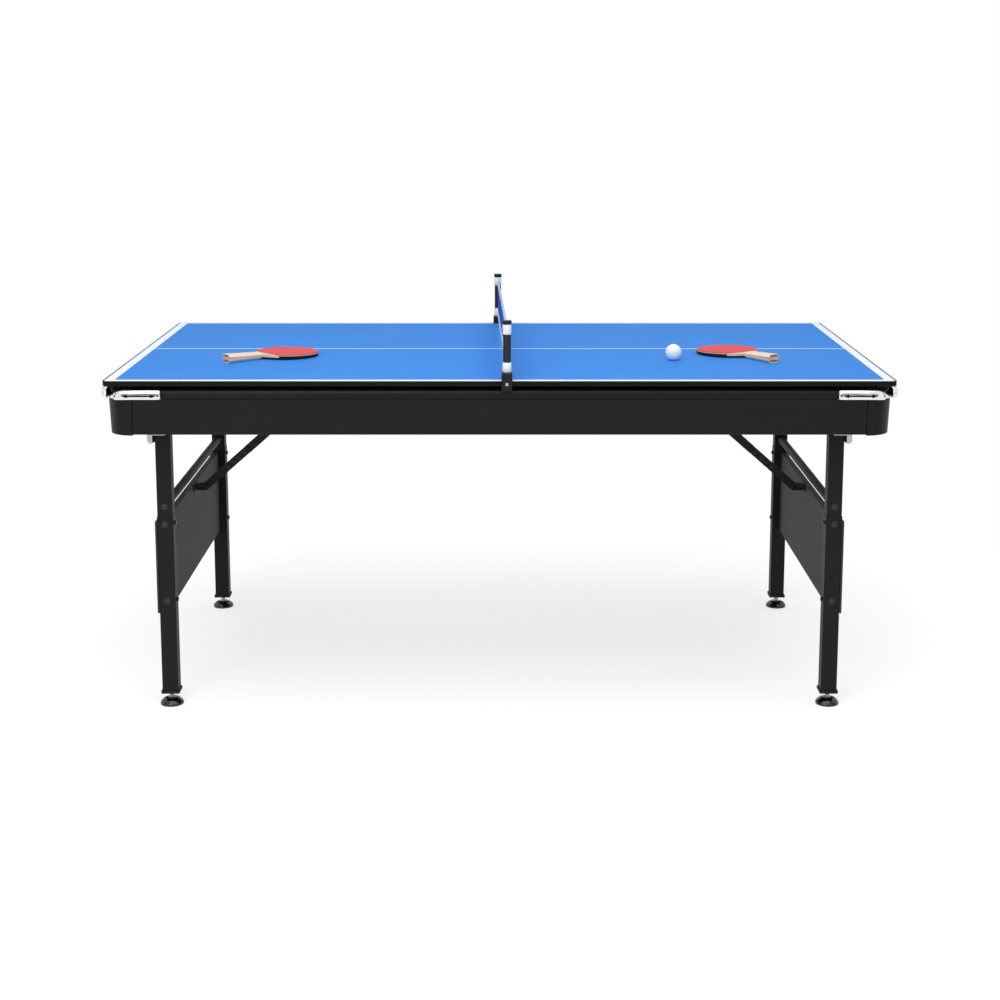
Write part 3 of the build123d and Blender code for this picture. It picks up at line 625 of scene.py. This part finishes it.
# In mm along the bar from its lower pin.
rivet_places = (79.0, 98.0, 116.0, 139.0)
for end in ("left", "right"):
    dressed("brace_lug_" + end, "leg_frame_" + end, brace_paint, 0.5)
    dressed("brace_lower_link_" + end, "brace_lower_" + end, brace_paint, 0.8)
    dressed("brace_upper_link_" + end, "brace_upper_" + end, brace_paint, 0.6)
    low_pin, high_pin = pins["brace_lower_turn_" + end], pins["brace_upper_turn_" + end]
    along = (high_pin - low_pin).normalized()
    bar_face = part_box("brace_lower_link_" + end)[1].y
    rivets = [
        (low_pin + along * place * MM + Vector((0, face * bar_face, 0)), (0, face, 0))
        for place in rivet_places for face in (-1, 1)
    ]
    set_heads(
        "brace_rivets_" + end, "brace_lower_" + end, bolt_black,
        rivets, (5.0, 0.2), (4.2, 0.4), dome=1.6,
    )

# ------------------------------------------------------------------ levelling feet
# A glossy black moulded foot, domed over a steel disc, turns on a zinc-plated M10 stem that
# screws into the leg's cap and is locked by a nut.

# A wave texture at scale 1 has this many bands in a metre.
bands_at_one = 3.18


def foot_stem():
    """Zinc-plated stud, with its thread drawn at a 2.5 mm pitch so that it shows."""
    material = metal("zinc_plated_stud", "#c9cacb", 0.28, 3.0, 0.02)
    tree = material.node_tree
    shader = tree.nodes["Principled BSDF"]
    place = add(tree, "ShaderNodeTexCoord").outputs["Object"]
    thread = add(tree, "ShaderNodeTexWave", {
        "Vector": place, "Scale": 1.0 / (2.5 * MM) / bands_at_one,
    }, wave_type="BANDS", bands_direction="Z")
    bump = add(tree, "ShaderNodeBump", {
        "Height": thread.outputs["Fac"], "Strength": 0.8, "Distance": 0.6 * MM,
    })
    tree.links.new(bump.outputs["Normal"], shader.inputs["Normal"])
    return material


# High-gloss polypropylene is almost a mirror at a glance, with a sharp highlight.
foot_gloss = moulded("gloss_black_foot", "#0b0d10", "#101317", 0.1, 6.0, 0.0, 0.6)
stem_zinc = foot_stem()
disc_top = 17.2 * MM
for depth in ("front", "rear"):
    for end in ("left", "right"):
        name = f"levelling_foot_{depth}_{end}"
        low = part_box(name)[0]
        work = whole_faces(name)
        for face in work.faces:
            face.material_index = int(face.calc_center_median().z > low.z + disc_top)
        foot = piece_of(
            name + "_finished", work, [foot_gloss, stem_zinc], name, [name]
        )
        ease_edges(foot, 1.2, steps=3)

# ------------------------------------------------------------------ net posts and clamps
# Each post is a black tube with the net's white tape looped round it at the top and bottom,
# and a black cap. Its clamp grips the board's edge by a screw.
tape_loop, tree, shader = finish_named(
    "white_tape_loop", Roughness=0.75, IOR=1.5, Specular_IOR_Level=0.3
)
place = add(tree, "ShaderNodeTexCoord").outputs["Object"]
# Woven nylon tape: its cross ribs are drawn at 2 mm so that they show.
ribs = add(tree, "ShaderNodeTexWave", {
    "Vector": place, "Scale": 1.0 / (2.0 * MM) / bands_at_one, "Distortion": 0.4,
}, wave_type="BANDS", bands_direction="Z")
tint = add(tree, "ShaderNodeMix", {
    "Factor": ribs.outputs["Fac"], "A": srgb("#e9f0f6"), "B": srgb("#f8fbfd"),
}, data_type="RGBA")
bump = add(tree, "ShaderNodeBump", {
    "Height": ribs.outputs["Fac"], "Strength": 0.3, "Distance": 0.15 * MM,
})
wire(tree, shader, tint, bump)
post_tube = moulded("black_post_tube", "#121416", "#181a1d", 0.35, 1.5, 0.02, 0.4)
tape_width, tape_thickness = 23.0, 0.9
post_sides = 40


def post(side):
    """A post turned from its profile, a little thicker where the tape is looped round it."""
    low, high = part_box("net_post_" + side)
    radius = (high.x - low.x) / 2
    middle_x, middle_y = (low.x + high.x) / 2, (low.y + high.y) / 2
    slim, round_off = radius - tape_thickness * MM, 0.8 * MM
    first, second = low.z + tape_width * MM, high.z - tape_width * MM
    profile = [
        (radius - round_off, low.z), (radius, low.z + round_off), (radius, first - round_off),
        (radius - round_off, first), (slim, first), (slim, second),
        (radius - round_off, second), (radius, second + round_off),
        (radius, high.z - round_off), (radius - round_off, high.z),
    ]
    work = bmesh.new()
    skin(work, [
        [
            (middle_x + r * math.cos(turn), middle_y + r * math.sin(turn), z)
            for turn in (math.tau * step / post_sides for step in range(post_sides))
        ]
        for r, z in profile
    ])
    for face in work.faces:
        inside = first < face.calc_center_median().z < second
        face.material_index = int(inside)
    piece_of(
        f"net_post_{side}_finished", work, [tape_loop, post_tube], "net_set",
        ["net_post_" + side], 50.0,
    )


clamp_plastic = moulded("black_clamp_plastic", "#0e0f10", "#141517", 0.4, 1.0, 0.04)
screw_steel = metal("bright_screw_steel", "#dededc", 0.2, 1.0, 0.02)
for side in ("front", "rear"):
    post(side)
    dressed("net_clamp_" + side, "net_set", clamp_plastic, 1.5, steps=3)
dressed("net_post_caps", "net_set", clamp_plastic, 1.8, steps=3)
dressed("net_screws", "net_set", screw_steel, 0.5)

# ------------------------------------------------------------------ net
# A close-knitted blue polyester net, stretched between the posts. White cotton-faced tape is
# folded over its top and bottom edges and sewn through.
net_low, net_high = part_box("net")
net_thickness = 2.5 * MM
front_x, rear_x = net_high.x - net_thickness / 2, net_low.x + net_thickness / 2
net_length = net_high.y - net_low.y
columns, rows = 120, 14
slack_depth, slack_waves, slack_lean = 0.35 * MM, 31, 0.5
work = bmesh.new()
grid = []
for row in range(rows + 1):
    height = net_low.z + (net_high.z - net_low.z) * row / rows
    line = []
    for column in range(columns + 1):
        share = column / columns
        y = net_low.y + net_length * share
        wave = math.sin(share * slack_waves + row * slack_lean)
        slack = slack_depth * wave * math.sin(math.pi * row / rows)
        line.append(work.verts.new((front_x + (rear_x - front_x) * share + slack, y, height)))
    grid.append(line)
for below, above in zip(grid, grid[1:]):
    for i in range(columns):
        work.faces.new((below[i], below[i + 1], above[i + 1], above[i]))

net_cloth, tree, shader = finish_named(
    "knitted_blue_net", Roughness=0.85, IOR=1.5, Specular_IOR_Level=0.2
)
place = add(tree, "ShaderNodeTexCoord").outputs["Object"]
# The knit's 1.2 mm eyes are drawn at 4 mm so that they show.
turned = add(tree, "ShaderNodeMapping", {"Vector": place, "Rotation": (math.radians(45), 0, 0)})
eyes = add(tree, "ShaderNodeTexVoronoi", {
    "Vector": turned.outputs["Vector"], "Scale": 1 / (4.0 * MM), "Randomness": 0.0,
})
tint = add(tree, "ShaderNodeMix", {
    "Factor": eyes.outputs["Distance"], "A": srgb("#0d66c6"), "B": srgb("#0a55ad"),
}, data_type="RGBA")
bump = add(tree, "ShaderNodeBump", {
    "Height": eyes.outputs["Distance"], "Strength": 0.4, "Distance": 0.4 * MM,
})
wire(tree, shader, tint, bump)
net = piece_of("net_cloth", work, [net_cloth], "net_set", ["net"])
body_of_cloth = net.modifiers.new("cloth", "SOLIDIFY")
body_of_cloth.thickness, body_of_cloth.offset = 0.8 * MM, 0.0

# The tapes keep a hair inside the posts' loops, and are rounded where they fold.
hair, fold_steps, tape_steps = 0.1, 8, 24
for name, middle in (
    ("top", net_high.z - tape_width / 2 * MM), ("bottom", net_low.z + tape_width / 2 * MM),
):
    work = bmesh.new()
    half_height, half_thick = tape_width / 2 - hair, net_thickness / MM / 2 - hair
    section = []
    for centre, first in ((half_height - half_thick, 0), (half_thick - half_height, 180)):
        for step in range(fold_steps + 1):
            turn = math.radians(first + 180 * step / fold_steps)
            section.append((half_thick * math.cos(turn), centre + half_thick * math.sin(turn)))
    skin(work, [
        [
            (front_x + (rear_x - front_x) * share + v * MM,
             net_low.y + net_length * share, middle + w * MM)
            for v, w in section
        ]
        for share in (step / tape_steps for step in range(tape_steps + 1))
    ])
    piece_of(
        f"net_tape_{name}", work, [tape_loop], "net_set", sharp=60.0
    )


# ------------------------------------------------------------------ bats
# A five-ply blade between two rubbers, red on top and black below. Its edge is bound with
# black tape, and two pale scales are glued on its tongue as a handle.
def timber(name, light, dark, turn, ring, roughness=0.5):
    """Sanded wood: long fibres along the bat, whose rings show as faint streaks."""
    material, tree, shader = finish_named(
        name, Roughness=roughness, IOR=1.5, Specular_IOR_Level=0.3
    )
    place = add(tree, "ShaderNodeTexCoord").outputs["Object"]
    lengthwise = add(tree, "ShaderNodeMapping", {"Vector": place, "Rotation": (0, 0, -turn)})
    drawn = add(tree, "ShaderNodeMapping", {
        "Vector": lengthwise.outputs["Vector"], "Scale": (0.06, 1.0, 1.0),
    })
    fibres = add(tree, "ShaderNodeTexNoise", {
        "Vector": drawn.outputs["Vector"], "Scale": 1 / (ring * MM), "Detail": 4.0,
        "Roughness": 0.6,
    })
    spread = add(tree, "ShaderNodeMapRange", {
        "Value": fibres.outputs["Fac"], "From Min": 0.3, "From Max": 0.7,
    })
    tint = add(tree, "ShaderNodeMix", {
        "Factor": spread.outputs["Result"], "A": srgb(light), "B": srgb(dark),
    }, data_type="RGBA")
    bump = add(tree, "ShaderNodeBump", {
        "Height": fibres.outputs["Fac"], "Strength": 0.25, "Distance": 0.1 * MM,
    })
    wire(tree, shader, tint, bump)
    return material


def sheet_rubber(name, colour, paler, roughness):
    """Moulded rubber sheet with its dimpled sponge showing faintly through at 2 mm."""
    material, tree, shader = finish_named(
        name, Roughness=roughness, IOR=1.5, Specular_IOR_Level=0.2
    )
    place = add(tree, "ShaderNodeTexCoord").outputs["Object"]
    dimples = add(tree, "ShaderNodeTexVoronoi", {
        "Vector": place, "Scale": 1 / (2.0 * MM), "Randomness": 0.3,
    })
    cloud = add(tree, "ShaderNodeTexNoise", {"Vector": place, "Scale": 25.0, "Detail": 3.0})
    tint = add(tree, "ShaderNodeMix", {
        "Factor": cloud.outputs["Fac"], "A": srgb(colour), "B": srgb(paler),
    }, data_type="RGBA")
    bump = add(tree, "ShaderNodeBump", {
        "Height": dimples.outputs["Distance"], "Strength": 0.15, "Distance": 0.08 * MM,
    })
    wire(tree, shader, tint, bump)
    return material


# The wood left bare above the tape, in mm.
bare_line = 1.6


def taped_blade(body, backwards, plywood):
    """The plywood blade, whose edge is black taped up to a thin line below the red rubber."""
    work = whole_faces(body + "_blade")
    work.normal_update()
    upwards = max(work.faces, key=lambda face: face.calc_area() * (face.normal.z > 0.9)).normal
    top = max(vertex.co.dot(upwards) for vertex in work.verts)
    rubber = frame["nodes"][body + "_red_rubber"].data
    neck = max(vertex.co.dot(backwards) for vertex in rubber.vertices)
    for normal, height in ((upwards, top - bare_line * MM), (backwards, neck)):
        bmesh.ops.bisect_plane(
            work, geom=work.verts[:] + work.edges[:] + work.faces[:],
            plane_co=normal * height, plane_no=normal,
        )
    work.normal_update()
    for face in work.faces:
        middle = face.calc_center_median()
        on_edge = abs(face.normal.dot(upwards)) < 0.5
        below = middle.dot(upwards) < top - bare_line * MM
        face.material_index = int(on_edge and below and middle.dot(backwards) < neck)
    blade = piece_of(
        body + "_blade_finished", work, [plywood, edge_tape], body,
        [body + "_blade"],
    )
    ease_edges(blade, 0.4)


# Cotton-backed edge tape is pressed over the ply and stays dull.
edge_tape = moulded("black_edge_tape", "#0c0c0c", "#121212", 0.7, 0.8, 0.1, 0.15)
red_sheet = sheet_rubber("red_bat_rubber", "#da454c", "#e04f55", 0.6)
black_sheet = sheet_rubber("black_bat_rubber", "#0d0d0d", "#131313", 0.5)
grain_rim = 2.6 * MM
for side in ("left", "right"):
    body = "bat_" + side
    blade_low, blade_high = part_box(body + "_red_rubber")
    grip_low, grip_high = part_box(body + "_handle")
    backwards = (grip_low + grip_high - blade_low - blade_high) / 2
    backwards.z = 0
    backwards.normalize()
    turn = math.atan2(backwards.y, backwards.x)
    plywood = timber("plywood_blade_" + side, "#ecd3b4", "#d8b68f", turn, 2.0)
    scales = timber("limewood_scales_" + side, "#fae6cf", "#eccdab", turn, 3.0)
    end_grain = timber("oiled_end_grain_" + side, "#a9714c", "#8c5636", turn, 1.5, 0.6)
    taped_blade(body, backwards, plywood)
    dressed(body + "_red_rubber", body, red_sheet, 0.4)
    dressed(body + "_black_rubber", body, black_sheet, 0.4)
    work = whole_faces(body + "_handle")
    work.normal_update()
    ends = [face for face in work.faces if face.normal.dot(backwards) > 0.9]
    bmesh.ops.inset_individual(work, faces=ends, thickness=grain_rim)
    for face in ends:
        face.material_index = 1
    grip = piece_of(
        body + "_handle_finished", work, [scales, end_grain], body,
        [body + "_handle"], 40.0,
    )
    ease_edges(grip, 1.6, 40.0, 3)

# ------------------------------------------------------------------ ball
# A 40 mm ball of cellulose-free plastic, welded from two halves and ground matt, so that
# only a faint line of the weld stays.
ball_low, ball_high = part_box("ball")
ball_centre = (ball_low + ball_high) / 2
ball_radius = (ball_high.x - ball_low.x) / 2
weld_tilt, weld_depth = math.radians(35), 0.08 * MM
ball_sides = 56
work = bmesh.new()
latitudes = [-80, -65, -50, -35, -20, -10, -4, -1.2, 0, 1.2, 4, 10, 20, 35, 50, 65, 80]
rings = []
for latitude in latitudes:
    pinch = weld_depth if latitude == 0 else 0.0
    flat_radius = (ball_radius - pinch) * math.cos(math.radians(latitude))
    height = (ball_radius - pinch) * math.sin(math.radians(latitude))
    ring = []
    for step in range(ball_sides):
        around = math.tau * step / ball_sides
        x, y = flat_radius * math.cos(around), flat_radius * math.sin(around)
        ring.append((
            ball_centre.x + x, ball_centre.y + y * math.cos(weld_tilt) - height * math.sin(weld_tilt),
            ball_centre.z + y * math.sin(weld_tilt) + height * math.cos(weld_tilt),
        ))
    rings.append(ring)
skin(work, rings)
weld_axis = Vector((0, -math.sin(weld_tilt), math.cos(weld_tilt)))
for upper in (False, True):
    cap = next(
        face for face in work.faces if len(face.verts) == ball_sides
        and ((face.calc_center_median() - ball_centre).dot(weld_axis) > 0) == upper
    )
    poked = bmesh.ops.poke(work, faces=[cap])
    for vertex in poked["verts"]:
        outward = (vertex.co - ball_centre).normalized()
        vertex.co = ball_centre + outward * ball_radius
ball_plastic = moulded("ground_ball_plastic", "#f8f8f5", "#fbfbf9", 0.5, 1.0, 0.01, 0.3)
piece_of("ball_finished", work, [ball_plastic], "ball", ["ball"], 60.0)

# ------------------------------------------------------------------ floor and light
# A white paper floor that runs on past the view, with a soft lamp overhead and one before
# the table. Rays that look at the floor see it as lit paper, and other rays as pale paper.
floor_mesh = bpy.data.meshes.new("studio_floor")
work = bmesh.new()
bmesh.ops.create_grid(work, x_segments=2, y_segments=2, size=30.0)
work.to_mesh(floor_mesh)
work.free()
floor = bpy.data.objects.new("studio_floor", floor_mesh)
bpy.context.scene.collection.objects.link(floor)


def looked_at(tree):
    """1 for rays that show the background: from the camera, a shiny surface or glass."""
    path = add(tree, "ShaderNodeLightPath").outputs
    shiny = add(tree, "ShaderNodeMath", {
        0: path["Is Camera Ray"], 1: path["Is Glossy Ray"],
    }, operation="MAXIMUM")
    return add(tree, "ShaderNodeMath", {
        0: shiny.outputs[0], 1: path["Is Transmission Ray"],
    }, operation="MAXIMUM").outputs[0]


paper = bpy.data.materials.new("white_paper_floor")
paper.use_nodes = True
tree = paper.node_tree
tree.nodes.clear()
bounce = add(tree, "ShaderNodeBsdfDiffuse", {"Color": srgb("#eeeeec")})
shade = add(tree, "ShaderNodeBsdfDiffuse", {"Color": srgb("#cbcbcb")})
glow = add(tree, "ShaderNodeEmission", {"Color": srgb("#ffffff"), "Strength": 0.64})
lit = add(tree, "ShaderNodeAddShader", {0: shade.outputs[0], 1: glow.outputs[0]})
beyond = add(tree, "ShaderNodeEmission", {"Color": srgb("#ffffff"), "Strength": 1.0})
place = add(tree, "ShaderNodeTexCoord").outputs["Object"]
reach = add(tree, "ShaderNodeVectorMath", {0: place}, operation="LENGTH")
far = add(tree, "ShaderNodeMapRange", {
    "Value": reach.outputs["Value"], "From Min": 1.3, "From Max": 2.6,
}, interpolation_type="SMOOTHSTEP")
seen = add(tree, "ShaderNodeMixShader", {
    0: far.outputs["Result"], 1: lit.outputs[0], 2: beyond.outputs[0],
})
surface = add(tree, "ShaderNodeMixShader", {
    0: looked_at(tree), 1: bounce.outputs[0], 2: seen.outputs[0],
})
# From below the paper is clear, so that the underside of the table can be looked at.
below = add(tree, "ShaderNodeNewGeometry").outputs["Backfacing"]
clear = add(tree, "ShaderNodeBsdfTransparent")
one_sided = add(tree, "ShaderNodeMixShader", {
    0: below, 1: surface.outputs[0], 2: clear.outputs[0],
})
add(tree, "ShaderNodeOutputMaterial", {"Surface": one_sided.outputs[0]})
floor_mesh.materials.append(paper)

# Black flags stand beside and behind the table, and grey cards before and behind it, where
# only shiny surfaces see them. They give the chrome its dark edges and its grey faces.
flag_cloth = moulded("black_flag_cloth", "#060606", "#0a0a0a", 1.0, 4.0, 0.3, 0.0)
grey_card = moulded("grey_card", "#868685", "#8c8c8b", 1.0, 4.0, 0.3, 0.0)
for name, cloth, place, size, turn in (
    ("left_flag", flag_cloth, (-3.2, -1.6, 1.0), (1.6, 2.4), 60),
    ("right_flag", flag_cloth, (3.2, -1.6, 1.0), (1.6, 2.4), -60),
    ("rear_left_flag", flag_cloth, (-2.3, 3.0, 1.0), (1.4, 2.4), 160),
    ("rear_right_flag", flag_cloth, (2.3, 3.0, 1.0), (1.4, 2.4), -160),
    ("front_card", grey_card, (0.0, -4.8, 0.12), (5.0, 0.5), 0),
    ("back_card", grey_card, (0.0, 4.8, 0.12), (5.0, 0.5), 0),
):
    work = bmesh.new()
    bmesh.ops.create_grid(work, x_segments=1, y_segments=1, size=0.5)
    bmesh.ops.scale(work, vec=(size[0], size[1], 1.0), verts=work.verts)
    mesh = bpy.data.meshes.new(name)
    work.to_mesh(mesh)
    work.free()
    mesh.materials.append(cloth)
    flag = bpy.data.objects.new(name, mesh)
    flag.location = place
    flag.rotation_euler = (math.radians(90), 0, math.radians(turn))
    bpy.context.scene.collection.objects.link(flag)
    flag.visible_camera = flag.visible_diffuse = flag.visible_shadow = False
    flag.visible_transmission = flag.visible_volume_scatter = False

world = bpy.data.worlds.new("studio")
bpy.context.scene.world = world
world.use_nodes = True
tree = world.node_tree
tree.nodes.clear()
soft = add(tree, "ShaderNodeBackground", {"Color": (1, 1, 1, 1), "Strength": 0.5})
white = add(tree, "ShaderNodeBackground", {"Color": (1, 1, 1, 1), "Strength": 1.0})
mixed = add(tree, "ShaderNodeMixShader", {
    0: looked_at(tree), 1: soft.outputs[0], 2: white.outputs[0],
})
add(tree, "ShaderNodeOutputWorld", {"Surface": mixed.outputs[0]})

for name, place, size, power in (
    ("overhead_softbox", (0.0, -1.0, 3.2), 3.0, 45.0),
    ("front_softbox", (-1.2, -4.0, 2.4), 2.5, 45.0),
):
    lamp = bpy.data.lights.new(name, "AREA")
    lamp.shape, lamp.size, lamp.energy = "SQUARE", size, power
    holder = bpy.data.objects.new(name, lamp)
    holder.location = place
    aim = Vector((0, 0, 0.6)) - Vector(place)
    holder.rotation_euler = aim.to_track_quat("-Z", "Y").to_euler()
    bpy.context.scene.collection.objects.link(holder)
